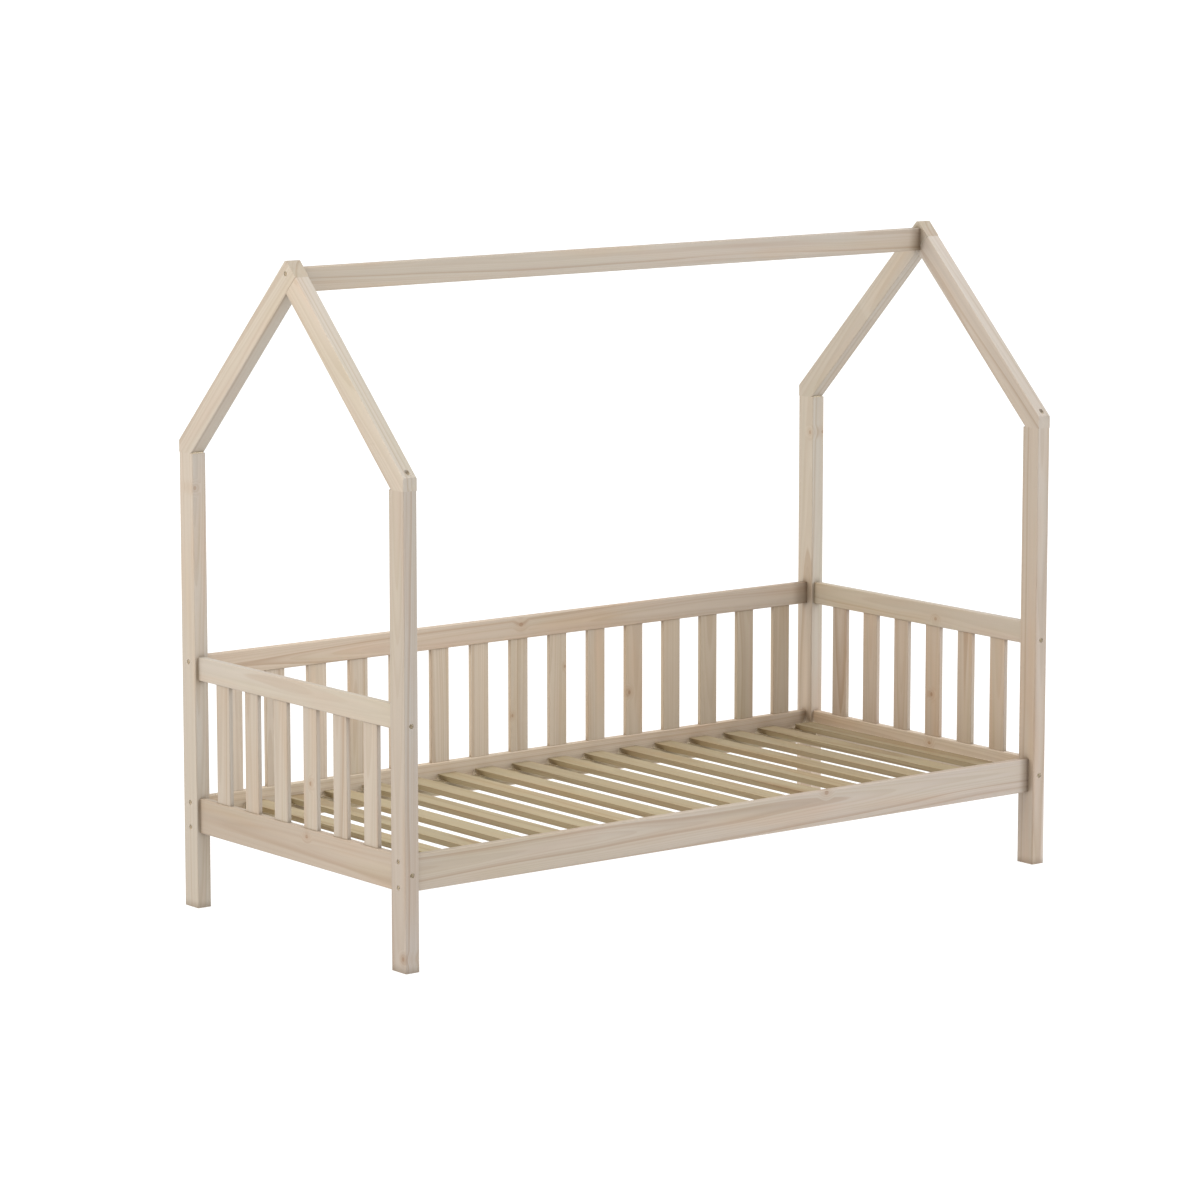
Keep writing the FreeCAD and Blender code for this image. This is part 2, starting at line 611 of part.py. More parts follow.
def bed_slat(number, middle_x):
    """A bed slat: the outer two fit between the posts, the others reach the rails."""
    outer = number in (1, BED_SLATS)
    reach = POST_INNER_Y if outer else LONG_RAIL_INNER_Y
    length = f"(2 * ({reach} - Dims.slat_end_play))"
    middle = {"x": middle_x, "y": "0", "z": f"({BED_SLAT_TOP} - Dims.bed_slat_thickness / 2)"}
    body = board(f"bed_slat_{number:02d}", "y", middle, length, "Dims.bed_slat_width",
                 "Dims.bed_slat_thickness", "Dims.slat_rounding")
    places = [(middle_x, slat_screw_y(row)) for row in (FRONT, BACK)]
    bore(body, "screws", "z", BED_SLAT_BOTTOM, 1, places, SMALL_BORE,
         "(Dims.slat_screw_bite + Dims.bore_end_play)")


# ---------------------------------------------------------------- fasteners

def turned(kind, name, place, sizes):
    """A Part primitive about the Z axis, at a height, its sizes bound to the sheet."""
    solid = document.addObject(kind, name)
    solid.setExpression("Placement.Base.z", place)
    for size, formula in sizes.items():
        solid.setExpression(size, formula)
    return solid


def screw_pattern(name, shank, length, head, head_height, socket):
    """A screw that points down, its head on the origin plane, with a six-sided socket."""
    shank_radius, tip = f"{shank} / 2", shank
    parts = [
        turned("Part::Cylinder", f"{name}_head", "0",
               {"Radius": f"{head} / 2", "Height": head_height}),
        turned("Part::Cylinder", f"{name}_shank", f"{tip} - {length}",
               {"Radius": shank_radius, "Height": f"{length} - {tip}"}),
        turned("Part::Cone", f"{name}_tip", f"-1 * {length}",
               {"Radius1": f"{shank} / 8", "Radius2": shank_radius, "Height": tip}),
    ]
    whole = document.addObject("Part::MultiFuse", f"{name}_whole")
    whole.Shapes = parts
    hollow = turned("Part::Prism", f"{name}_socket", f"{head_height} / 2",
                    {"Circumradius": f"{socket} / 2", "Height": head_height})
    screw = document.addObject("Part::Cut", name)
    screw.Base = whole
    screw.Tool = hollow
    document.recompute()
    return screw


def dowel_pattern():
    """A dowel that points down from the origin, with a chamfer at each end."""
    rod = turned("Part::Cylinder", "dowel_rod", "-1 * Dims.dowel_length",
                 {"Radius": "Dims.dowel_diameter / 2", "Height": "Dims.dowel_length"})
    dowel = document.addObject("Part::Chamfer", "dowel")
    dowel.Base = rod
    document.recompute()
    chamfer = value("Dims.dowel_diameter / 8")
    rims = [
        number for number, edge in enumerate(rod.Shape.Edges, start=1)
        if isinstance(edge.Curve, Part.Circle)
    ]
    dowel.Edges = [(number, chamfer, chamfer) for number in rims]
    document.recompute()
    return dowel


def fastener_group(label, pattern, places):
    """One node of like fasteners: each place is a point and a direction to drive."""
    down = FreeCAD.Vector(0, 0, -1)
    copies = []
    for point, direction in places:
        position = FreeCAD.Vector(*[value(formula) for formula in point])
        copy = pattern.Shape.copy()
        copy.Placement = FreeCAD.Placement(position, FreeCAD.Rotation(down, direction))
        copies.append(copy)
    group = document.addObject("Part::Feature", label)
    group.Label = label
    group.Shape = Part.makeCompound(copies)
    group.Placement = FreeCAD.Placement()
    nodes.append(group)


def along(axis, sign):
    return DIRECTIONS[axis] * sign


SLOPE_INWARD = FreeCAD.Vector(0, -1, -1).normalize()


def rail_screws(pattern):
    places = []
    for side in (LEFT, RIGHT):
        head_x = mirrored(side, f"({POST_OUTER_X} - Dims.end_bore_depth)")
        for row in (FRONT, BACK):
            for height in long_rail_screws(row):
                places.append(((head_x, mirrored(row, POST_Y), height), along("x", -side)))
            head_y = mirrored(row, f"({HALF_WIDTH} - Dims.side_bore_depth)")
            for height in end_rail_screws():
                places.append(((mirrored(side, POST_X), head_y, height), along("y", -row)))
    fastener_group("rail_screws", pattern, places)


def roof_screws(pattern):
    places = []
    for side in (LEFT, RIGHT):
        middle_x = mirrored(side, POST_X)
        sink = "(Dims.rafter_thickness / 2 - Dims.end_bore_depth)"
        head_x = mirrored(side, f"({POST_X} + {sink})")
        places.append(((head_x, "0", RIDGE_SCREW), along("x", -side)))
        seat = f"({REAR_SLOPE} - Dims.side_bore_depth * sqrt(2))"
        places.append(((middle_x, *on_slope(seat, APEX_SCREW_OFFSET)), SLOPE_INWARD))
        for row in (FRONT, BACK):
            head = (middle_x, mirrored(row, FOOT_Y), "(Dims.post_height + Dims.foot_under_head)")
            places.append((head, along("z", -1)))
    fastener_group("roof_screws", pattern, places)


def dowels(pattern):
    places = []
    for side in (LEFT, RIGHT):
        middle_x = mirrored(side, POST_X)
        for row in (FRONT, BACK):
            start = mirrored(row, f"({POST_INNER_Y} + Dims.dowel_in_post)")
            for height in end_rail_dowels():
                places.append(((middle_x, start, height), along("y", -row)))
        start = mirrored(side, f"({HALF_LENGTH} + Dims.dowel_in_post)")
        places.append(((start, POST_Y, BACK_TOP_DOWEL), along("x", -side)))
        inner = f"({POST_X} - Dims.rafter_thickness / 2 + Dims.dowel_in_post)"
        places.append(((mirrored(side, inner), "0", RIDGE_DOWEL), along("x", -side)))
        top = f"({REAR_UNDERSIDE} + Dims.dowel_in_post * sqrt(2))"
        places.append(((middle_x, *on_slope(top, APEX_DOWEL_OFFSET)), SLOPE_INWARD))
    fastener_group("dowels", pattern, places)


def slat_screws(pattern):
    head = f"({CLEAT_BOTTOM} + {SLAT_SCREW_SINK})"
    places = []
    for middle_x in spread(BED_SLATS, BED_SLAT_PITCH):
        for row in (FRONT, BACK):
            places.append(((middle_x, slat_screw_y(row), head), along("z", 1)))
    fastener_group("slat_screws", pattern, places)


def cleat_screws(pattern):
    height = f"({CLEAT_BOTTOM} + Dims.cleat_height / 2)"
    places = []
    for row in (FRONT, BACK):
        head = mirrored(row, f"({CLEAT_INNER_Y} + {CLEAT_SCREW_SINK})")
        for step in CLEAT_SCREW_STEPS:
            places.append(((f"({step} * {BED_SLAT_PITCH})", head, height), along("y", row)))
    fastener_group("cleat_screws", pattern, places)


def fasteners():
    connecting = screw_pattern("connecting_screw", "Dims.screw_shank", "Dims.screw_length",
                               "Dims.screw_head", "Dims.screw_head_height", "Dims.screw_socket")
    small = ("Dims.small_head", "Dims.small_head_height", "Dims.small_socket")
    slat = screw_pattern("slat_screw", "Dims.small_shank", "Dims.slat_screw_length", *small)
    cleats = screw_pattern("cleat_screw", "Dims.small_shank", "Dims.cleat_screw_length", *small)
    rail_screws(connecting)
    roof_screws(connecting)
    dowels(dowel_pattern())
    slat_screws(slat)
    cleat_screws(cleats)


# ---------------------------------------------------------------- the bed

def build():
    for side in (LEFT, RIGHT):
        for row in (FRONT, BACK):
            post(side, row)
            rafter(side, row)
    ridge_beam()
    front_side()
    back_fence()
    for side in (LEFT, RIGHT):
        end_fence(side)
    for row in (FRONT, BACK):
        cleat(row)
    for number, middle in enumerate(spread(BED_SLATS, BED_SLAT_PITCH), start=1):
        bed_slat(number, middle)
    fasteners()
    document.recompute()


def check():
    """Stops if any object failed or any sub-part has no sound shape."""
    for item in document.Objects:
        if "Invalid" in item.State or "Error" in item.State:
            raise RuntimeError(f"{item.Name} failed: {item.State}")
    for node in nodes:
        if node.Shape.isNull() or not node.Shape.isValid() or not node.Shape.Solids:
            raise RuntimeError(f"{node.Label} has no valid solid")


def write():
    os.makedirs("parts", exist_ok=True)
    for node in nodes:
        node.Shape.exportStep(os.path.join("parts", f"{node.Label}.step"))


build()
check()
write()
overall = (f"(2 * {POST_OUTER_X})", "Dims.outer_width", f"({APEX_POINT} - Dims.apex_flat / 2)")
print(f"{len(nodes)} sub-parts")
print(" x ".join(f"{value(size):.1f}" for size in overall), "mm")
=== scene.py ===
import math
import random

import bpy
from mathutils import Matrix, Vector


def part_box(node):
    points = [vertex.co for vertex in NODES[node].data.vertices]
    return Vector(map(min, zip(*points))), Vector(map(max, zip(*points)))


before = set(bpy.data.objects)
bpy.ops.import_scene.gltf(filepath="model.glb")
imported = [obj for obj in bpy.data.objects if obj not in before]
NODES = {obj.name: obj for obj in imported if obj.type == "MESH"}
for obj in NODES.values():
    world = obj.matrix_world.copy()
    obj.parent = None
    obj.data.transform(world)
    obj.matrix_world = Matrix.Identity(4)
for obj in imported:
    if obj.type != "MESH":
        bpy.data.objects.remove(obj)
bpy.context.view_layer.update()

bl_info = {
    "name": "House frame bed",
    "version": (1, 0, 0),
    "blender": (4, 5, 0),
    "location": "View3D > Sidebar > Bed",
    "description": "Finishes the timbers of a child's house frame bed and lights it in a plain studio",
    "category": "Object",
}

RAFTER_SLOPE = math.radians(45)


# ---------------------------------------------------------------- settings

class BED_PG_timber(bpy.types.PropertyGroup):
    """Colours and figure of the pine."""

    early: bpy.props.FloatVectorProperty(
        name="Early wood", description="Pale wood between the growth lines",
        subtype="COLOR", size=3, default=(0.423, 0.365, 0.299), min=0, max=1)
    late: bpy.props.FloatVectorProperty(
        name="Late wood", description="Darker wood of the growth lines",
        subtype="COLOR", size=3, default=(0.330, 0.262, 0.190), min=0, max=1)
    knot: bpy.props.FloatVectorProperty(
        name="Knot", description="Heart of a knot",
        subtype="COLOR", size=3, default=(0.230, 0.130, 0.065), min=0, max=1)
    knot_strength: bpy.props.FloatProperty(
        name="Knot strength", description="How far the heart of a knot covers the wood",
        subtype="FACTOR", default=0.48, min=0, max=1)
    slat_early: bpy.props.FloatVectorProperty(
        name="Slat early wood", description="Pale wood of the unlacquered bed slats",
        subtype="COLOR", size=3, default=(0.335, 0.277, 0.178), min=0, max=1)
    slat_late: bpy.props.FloatVectorProperty(
        name="Slat late wood", description="Growth lines of the unlacquered bed slats",
        subtype="COLOR", size=3, default=(0.245, 0.190, 0.112), min=0, max=1)
    ring_spacing: bpy.props.FloatProperty(
        name="Ring spacing", description="Mean distance between growth lines",
        subtype="DISTANCE", unit="LENGTH", default=0.0042, min=0.001, max=0.02)
    figure: bpy.props.FloatProperty(
        name="Figure", description="Strength of the growth lines",
        subtype="FACTOR", default=0.55, min=0, max=1)
    broad_figure: bpy.props.FloatProperty(
        name="Broad figure", description="Strength of the few broad wavy growth lines",
        subtype="FACTOR", default=0.6, min=0, max=1)
    gloss: bpy.props.FloatProperty(
        name="Roughness", description="Roughness of the matt lacquer",
        subtype="FACTOR", default=0.5, min=0, max=1)


class BED_PG_studio(bpy.types.PropertyGroup):
    """Camera and light."""

    turn: bpy.props.FloatProperty(
        name="Turn", description="Camera's turn about the upright axis",
        subtype="ANGLE", unit="ROTATION", default=math.radians(-37.766))
    pitch: bpy.props.FloatProperty(
        name="Pitch", description="Camera's tilt below the horizon",
        subtype="ANGLE", unit="ROTATION", default=math.radians(8.947))
    eye: bpy.props.FloatVectorProperty(
        name="Eye", description="Camera's place", subtype="XYZ", unit="LENGTH",
        size=3, default=(-7.4537, -9.5229, 2.6517))
    lens: bpy.props.FloatProperty(
        name="Lens", description="Focal length on a 36 mm sensor", default=142.11, min=10, max=500)
    left_strength: bpy.props.FloatProperty(
        name="Left light", description="Strength of the broad warm light from the left",
        default=1.25, min=0)
    right_strength: bpy.props.FloatProperty(
        name="Right light", description="Strength of the broad cool light from the right",
        default=1.75, min=0)
    top_strength: bpy.props.FloatProperty(
        name="Top light", description="Strength of the broad light from above", default=1.9, min=0)
    lamp_power: bpy.props.FloatProperty(
        name="Side lamp", description="Power of the near lamp by the left end",
        subtype="POWER", unit="POWER", default=24, min=0)
    softness: bpy.props.FloatProperty(
        name="Softness", description="Angle that each broad light spans",
        subtype="ANGLE", unit="ROTATION", default=math.radians(60))
    sky: bpy.props.FloatProperty(
        name="Sky", description="Strength of the even light from all round", default=0.52, min=0)


def timber():
    return bpy.context.scene.bed_timber


def studio():
    return bpy.context.scene.bed_studio


# ---------------------------------------------------------------- shader arithmetic

NORMAL_OUTPUT = 1            # of Texture Coordinate
OBJECT_OUTPUT = 3            # of Texture Coordinate
VALUE_OUTPUT = 1             # of Vector Math
COLOUR_OUTPUT = 1            # of Noise Texture
OPEN_SKY_OUTPUT = 1          # of Ambient Occlusion


class Signal:
    """A socket of a material that can be added, multiplied and so on."""

    def __init__(self, paint, socket):
        self.paint = paint
        self.socket = socket

    def math(self, operation, *inputs):
        return self.paint.node("ShaderNodeMath", {"operation": operation}, inputs)

    def __add__(self, other):
        return self.math("ADD", self, other)

    __radd__ = __add__

    def __sub__(self, other):
        return self.math("SUBTRACT", self, other)

    def __rsub__(self, other):
        return self.math("SUBTRACT", other, self)

    def __mul__(self, other):
        return self.math("MULTIPLY", self, other)

    __rmul__ = __mul__

    def __truediv__(self, other):
        return self.math("DIVIDE", self, other)

    def __pow__(self, other):
        return self.math("POWER", self, other)

    def __abs__(self):
        return self.math("ABSOLUTE", self)

    def whole(self):
        return self.math("FLOOR", self)

    def fraction(self):
        return self.math("FRACT", self)


class Paint:
    """A new material, its nodes added one by one."""

    def __init__(self, name):
        self.material = bpy.data.materials.new(name)
        self.material.use_nodes = True
        self.tree = self.material.node_tree
        self.shader = self.tree.nodes["Principled BSDF"]

    def node(self, kind, settings=None, inputs=(), output=0):
        """Adds a node: its settings first, then values or links for its sockets."""
        made = self.tree.nodes.new(kind)
        for name, setting in (settings or {}).items():
            if name == "stops":
                self.set_stops(made.color_ramp, setting)
            else:
                setattr(made, name, setting)
        pairs = inputs.items() if isinstance(inputs, dict) else enumerate(inputs)
        for place, given in pairs:
            self.feed(made.inputs[place], given)
        return Signal(self, made.outputs[output])

    def feed(self, socket, given):
        if isinstance(given, Signal):
            self.tree.links.new(given.socket, socket)
        else:
            socket.default_value = given

    @staticmethod
    def set_stops(ramp, stops):
        while len(ramp.elements) < len(stops):
            ramp.elements.new(1.0)
        for element, (place, colour) in zip(ramp.elements, stops):
            element.position = place
            element.color = (*colour, 1.0)

    def vector(self, operation, first, second, output=0):
        settings = {"operation": operation}
        return self.node("ShaderNodeVectorMath", settings, (first, second), output)

    def join(self, x, y, z):
        return self.node("ShaderNodeCombineXYZ", None, (x, y, z))

    def split(self, vector):
        first = self.node("ShaderNodeSeparateXYZ", None, (vector,))
        outputs = first.socket.node.outputs
        return [Signal(self, socket) for socket in outputs]

    def mix(self, factor, first, second, blend="MIX"):
        settings = {"data_type": "RGBA", "blend_type": blend}
        inputs = {0: factor, 6: opaque(first), 7: opaque(second)}
        return self.node("ShaderNodeMix", settings, inputs, 2)

    def noise(self, place, scale, detail=2.0, roughness=0.5, output=0):
        inputs = {"Vector": place, "Scale": scale, "Detail": detail, "Roughness": roughness}
        return self.node("ShaderNodeTexNoise", None, inputs, output)

    def ramp_between(self, given, low, high, to_low=0.0, to_high=1.0):
        settings = {"interpolation_type": "SMOOTHSTEP", "clamp": True}
        return self.node("ShaderNodeMapRange", settings, (given, low, high, to_low, to_high))

    def set(self, name, given):
        self.feed(self.shader.inputs[name], given)

    def scale(self, colour, factor):
        """Multiplies a colour by one number that varies."""
        scaled = self.node("ShaderNodeVectorMath", {"operation": "SCALE"}, (colour,))
        self.feed(scaled.socket.node.inputs["Scale"], factor)
        return scaled

    def bump(self, strength, distance, height):
        inputs = {"Strength": strength, "Distance": distance, "Height": height}
        self.set("Normal", self.node("ShaderNodeBump", None, inputs))

    def object_place(self):
        return self.node("ShaderNodeTexCoord", None, (), OBJECT_OUTPUT)

    def facing(self, direction):
        """1 on faces square to a direction, 0 on faces along it."""
        normal = self.node("ShaderNodeTexCoord", None, (), NORMAL_OUTPUT)
        return abs(self.vector("DOT_PRODUCT", normal, tuple(direction), VALUE_OUTPUT))


def opaque(colour):
    """A colour with full alpha, or a signal as it is."""
    if isinstance(colour, Signal):
        return colour
    return (*colour, 1.0)


# ---------------------------------------------------------------- pine

# A board's own directions: along the grain, across its wide face, through its thickness.
ACROSS = {
    "x": (Vector((1, 0, 0)), Vector((0, 0, 1)), Vector((0, -1, 0))),
    "y": (Vector((0, 1, 0)), Vector((1, 0, 0)), Vector((0, 0, -1))),
    "y on edge": (Vector((0, 1, 0)), Vector((0, 0, 1)), Vector((1, 0, 0))),
    "z": (Vector((0, 0, 1)), Vector((1, 0, 0)), Vector((0, 1, 0))),
    "upright on end": (Vector((0, 0, 1)), Vector((0, 1, 0)), Vector((-1, 0, 0))),
    "front slope": (
        Vector((0, math.cos(RAFTER_SLOPE), math.sin(RAFTER_SLOPE))),
        Vector((0, -math.sin(RAFTER_SLOPE), math.cos(RAFTER_SLOPE))),
        Vector((1, 0, 0)),
    ),
    "rear slope": (
        Vector((0, -math.cos(RAFTER_SLOPE), math.sin(RAFTER_SLOPE))),
        Vector((0, math.sin(RAFTER_SLOPE), math.cos(RAFTER_SLOPE))),
        Vector((-1, 0, 0)),
    ),
}

# How the growth lines run. Lengths are in metres, angles in radians.
WANDER_SCALE = (0.9, 7.0, 7.0)    # along the grain and across it, as for all scales below
PITH_ANGLE = (0.9, 2.2)
PITH_REACH = (0.030, 0.085)
PITH_WANDER = 0.030
RING_WANDER = 0.012
TAPER = (0.006, 0.016)
LATE_RISE = (0.30, 0.92)
LATE_FALL = (1.0, 0.94)
YEARS_SCALE = 0.21           # how slowly the spacing of the lines changes
YEARS_STRENGTH = 2.4
BROAD_SHARE = 0.31           # broad lines to each fine line
BROAD_WANDER = 1.6
BROAD_YEARS = (0.44, 0.60)
BROAD_TINT = (0.74, 0.63, 0.53)

# Knots: the ring lines bend round them, and the wood near them is darker.
KNOT_LEAN = 0.3
KNOT_PUSH = 0.009
KNOT_CORE = 0.75
KNOT_RINGS = 0.20
HALO_REACH = 4.5
HALO_CORE = 0.6
HALO_STRENGTH = 0.30
HALO_TINT = (0.80, 0.62, 0.46)

# Streaks, fibres and tinted patches.
STREAK_SCALE = (1.3, 60.0, 60.0)
STREAK_LIGHT = 0.24
FIBRE_SCALE = (14.0, 750.0, 750.0)
FIBRE_LIGHT = 0.06
BASE_LIGHT = 0.85
BOARD_SHADE = 0.045          # how much lighter or darker one board may be
FIGURE_SPREAD = (0.6, 1.2)
PATCH_SCALE = (2.2, 16.0, 16.0)
PATCH_TINTS = (              # start, full, strength and tint: warm, olive and pink
    (0.46, 0.72, 0.38, (1.0, 0.83, 0.66)),
    (0.50, 0.75, 0.22, (0.90, 0.93, 0.74)),
    (0.52, 0.74, 0.25, (1.0, 0.84, 0.80)),
)

# Cut faces; painted shade on narrow long faces and in corners; painted light in bores.
CUT_FACING = (0.62, 0.98)
CUT_STRENGTH = 0.55
CUT_TINT = (0.80, 0.70, 0.58)
EDGE_SHADE_FACING = (0.55, 0.95)
CORNER_SKY = (0.90, 0.52)    # open sky where the painted corner shade starts, and where it is full
CORNER_STRENGTH = 0.62
BORE_SKY = (0.42, 0.25)      # the same, for the painted light in a bore
CONTACT_SAMPLES = 8

KNOT_STRETCH = 1.25          # a knot is a little longer along the grain
NOISE_STEP = 3.7             # shift along the grain from one board's noise to the next
SLAT_STEP = 1.9              # the same, from one slat of a fence end to the next
CONTACT_REACH = 0.032        # how far from a corner its painted shade reaches
# Colour of the painted shade in corners and at the ends of boards.
PAINTED_SHADE_TINT = (0.46, 0.40, 0.32)
END_CORE = 0.35              # share of an end's painted shade that is at full strength
END_STRENGTH = 0.55
BORE_PAINTED_LIGHT = (0.90, 0.82, 0.68)    # painted light that lightens the shade deep in the screw bores
EDGE_SHADE_TINT = (0.78, 0.75, 0.67)    # painted shade on the narrow long faces of the bed slats
EVEN = ((1.0, 1.0, 1.0), (1.0, 1.0, 1.0))


class Board:
    """Where a board's figure lies: its middle, its directions, its pith and its knots.

    Its tint runs from the low to the high end of its grain, partly wood colour and partly
    painted light and shade; ends are the lengths of the painted shade at its two ends,
    contact is the strength of the painted shade in its corners, and the edge flag paints
    shade on its two narrow long faces.
    """

    def __init__(self, node, lie, number, knots=(), pitch=None, tone=EVEN, ends=(0, 0), contact=1,
                 painted_edge_shade=False):
        self.node = node
        self.lie = lie
        self.knots = knots
        self.pitch = pitch
        self.tone = tone
        self.ends = ends
        self.contact = contact
        self.painted_edge_shade = painted_edge_shade
        self.draw = random.Random(number)
        self.shift = number * NOISE_STEP
        low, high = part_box(node)
        self.middle = (Vector(low) + Vector(high)) / 2
        self.half = abs(ACROSS[lie][0].dot(Vector(high) - Vector(low))) / 2

    def mapping(self):
        """Location and turn that bring object coordinates into the board's directions."""
        turn = Matrix(ACROSS[self.lie])
        return -(turn @ self.middle), turn.to_euler("XYZ")


def board_place(paint, board):
    """The point in the board's own directions, and the same with its noise shift."""
    location, turn = board.mapping()
    place = paint.node("ShaderNodeMapping", None, (paint.object_place(), location, turn))
    along, across, through = paint.split(place)
    shift = board.shift
    if board.pitch:
        cell = (across / board.pitch).whole()
        own_across = across - (cell + 0.5) * board.pitch
        shift = cell * SLAT_STEP + board.shift
    else:
        own_across = across
    return (along, across, through), paint.join(along + shift, own_across, through)


def knot_masks(paint, board, place):
    """For each knot, how near a point is to its heart and to the wood around it."""
    along, across, through = place
    hearts, halos = [], []
    for along_at, across_at, radius in board.knots:
        lengthwise = (along - along_at) / KNOT_STRETCH
        sideways = across - across_at + through * board.draw.uniform(-KNOT_LEAN, KNOT_LEAN)
        square = lengthwise * lengthwise + sideways * sideways
        distance = square ** 0.5
        hearts.append(paint.ramp_between(distance, radius, radius * KNOT_CORE))
        halos.append(paint.ramp_between(distance, radius * HALO_REACH, radius * HALO_CORE))
    return hearts, halos


def total(signals):
    """The sum of some signals."""
    result = signals[0]
    for signal in signals[1:]:
        result = result + signal
    return result


def growth_rings(paint, board, noise_place, halos):
    """Growth lines, 1 in the dark late wood and 0 between, and a few broad wavy ones."""
    stretched = paint.vector("MULTIPLY", noise_place, WANDER_SCALE)
    wander = paint.noise(stretched, 1.0, 2.0, 0.45, COLOUR_OUTPUT)
    wander_x, wander_y, wander_z = paint.split(wander)
    along, across, through = paint.split(noise_place)
    angle = board.draw.uniform(*PITH_ANGLE)
    reach = board.draw.uniform(*PITH_REACH)
    pith_across = math.cos(angle) * reach
    pith_through = math.sin(angle) * reach * board.draw.choice((-1, 1))
    offset_across = across - pith_across + (wander_y - 0.5) * PITH_WANDER
    offset_through = through - pith_through + (wander_z - 0.5) * PITH_WANDER
    square = offset_across * offset_across + offset_through * offset_through
    taper = board.draw.uniform(*TAPER) * board.draw.choice((-1, 1))
    radius = square ** 0.5 + along * taper + (wander_x - 0.5) * RING_WANDER
    if halos:
        radius = radius + total(halos) * KNOT_PUSH
    count = radius / timber().ring_spacing
    uneven = paint.noise(paint.join(count * YEARS_SCALE, 0.0, 0.0), 1.0, 1.0)
    fine = late_wood(paint, count + uneven * YEARS_STRENGTH)
    broad = late_wood(paint, count * BROAD_SHARE + wander_x * BROAD_WANDER)
    some = paint.ramp_between(uneven, *BROAD_YEARS)
    return fine, broad * some


def late_wood(paint, count):
    """The late wood at the end of each whole step of a count of rings."""
    phase = count.fraction()
    rise = paint.ramp_between(phase, *LATE_RISE)
    fall = paint.ramp_between(phase, *LATE_FALL)
    return rise * fall


def pine(board, early, late):
    """Pine with growth lines, streaks, tints and knots, and painted light and shade."""
    settings = timber()
    paint = Paint(f"pine_{board.node}")
    place, noise_place = board_place(paint, board)
    hearts, halos = knot_masks(paint, board, place)
    rings, broad = growth_rings(paint, board, noise_place, halos)
    streaks = paint.noise(paint.vector("MULTIPLY", noise_place, STREAK_SCALE), 1.0, 3.0, 0.6)
    patch_place = paint.vector("MULTIPLY", noise_place, PATCH_SCALE)
    patches = paint.split(paint.noise(patch_place, 1.0, 2.0, 0.5, COLOUR_OUTPUT))
    fibres = paint.noise(paint.vector("MULTIPLY", noise_place, FIBRE_SCALE), 1.0, 2.0, 0.6)

    shade = board.draw.uniform(-BOARD_SHADE, BOARD_SHADE)
    pale = [min(1.0, channel * (1 + shade)) for channel in early]
    contrast = settings.figure * board.draw.uniform(*FIGURE_SPREAD)
    colour = paint.mix(rings * contrast * (streaks * 0.9 + 0.20), pale, late)
    colour = paint.mix(broad * settings.broad_figure, colour, BROAD_TINT, "MULTIPLY")
    for patch, (low, high, strength, tint) in zip(patches, PATCH_TINTS):
        share = paint.ramp_between(patch, low, high) * strength
        colour = paint.mix(share, colour, tint, "MULTIPLY")
    light = streaks * STREAK_LIGHT + fibres * FIBRE_LIGHT + BASE_LIGHT
    colour = paint.scale(colour, light)
    for heart, halo in zip(hearts, halos):
        colour = paint.mix(halo * HALO_STRENGTH, colour, HALO_TINT, "MULTIPLY")
        heart_share = heart * (rings * KNOT_RINGS + settings.knot_strength)
        colour = paint.mix(heart_share, colour, settings.knot)
    colour = end_grain(paint, board, colour)
    if board.painted_edge_shade:
        colour = painted_edge_shade(paint, board, colour)
    colour = board_tone_and_light(paint, board, place[0], colour)
    colour = end_shade(paint, board, place[0], colour)
    colour = contact_shade(paint, board, colour)
    paint.set("Base Color", colour)
    paint.set("Roughness", streaks * 0.12 + rings * -0.06 + settings.gloss)
    height = fibres * 0.5 + rings * 0.35
    paint.bump(0.22, 0.0005, height)
    return paint.material


def painted_edge_shade(paint, board, colour):
    """Paints shade on the two narrow long faces."""
    edge = paint.ramp_between(paint.facing(ACROSS[board.lie][1]), *EDGE_SHADE_FACING)
    return paint.mix(edge, colour, EDGE_SHADE_TINT, "MULTIPLY")


def board_tone_and_light(paint, board, along, colour):
    """Tints a board from one end of its grain to the other, partly as painted light and shade."""
    start, finish = board.tone
    share = paint.ramp_between(along, -board.half, board.half)
    tint = paint.mix(share, start, finish)
    return paint.mix(1.0, colour, tint, "MULTIPLY")


def end_shade(paint, board, along, colour):
    """Paints shade on the ends of a board that butts on a piece standing proud of it."""
    for reach, side in zip(board.ends, (-1, 1)):
        if reach:
            left_over = board.half - along * side
            shade = paint.ramp_between(left_over, reach, reach * END_CORE)
            colour = paint.mix(shade * END_STRENGTH, colour, PAINTED_SHADE_TINT, "MULTIPLY")
    return colour


def contact_shade(paint, board, colour):
    """Paints shade near a corner where another piece stands against it, and painted light in bores."""
    open_sky = paint.node("ShaderNodeAmbientOcclusion", {"samples": CONTACT_SAMPLES},
                          {"Distance": CONTACT_REACH}, OPEN_SKY_OUTPUT)
    shade = paint.ramp_between(open_sky, *CORNER_SKY)
    colour = paint.mix(shade * (CORNER_STRENGTH * board.contact), colour, PAINTED_SHADE_TINT, "MULTIPLY")
    # Painted light: deep in a bore the colour turns pale against the shade there.
    bore = paint.ramp_between(open_sky, *BORE_SKY)
    return paint.mix(bore, colour, BORE_PAINTED_LIGHT)


def end_grain(paint, board, colour):
    """Darkens the faces that cut the grain across."""
    cut = paint.ramp_between(paint.facing(ACROSS[board.lie][0]), *CUT_FACING)
    return paint.mix(cut * CUT_STRENGTH, colour, CUT_TINT, "MULTIPLY")


def wear(material, *nodes):
    """Puts one material on CAD nodes."""
    for node in nodes:
        for slot in NODES[node].material_slots:
            slot.material = material
        if not NODES[node].material_slots:
            NODES[node].data.materials.append(material)


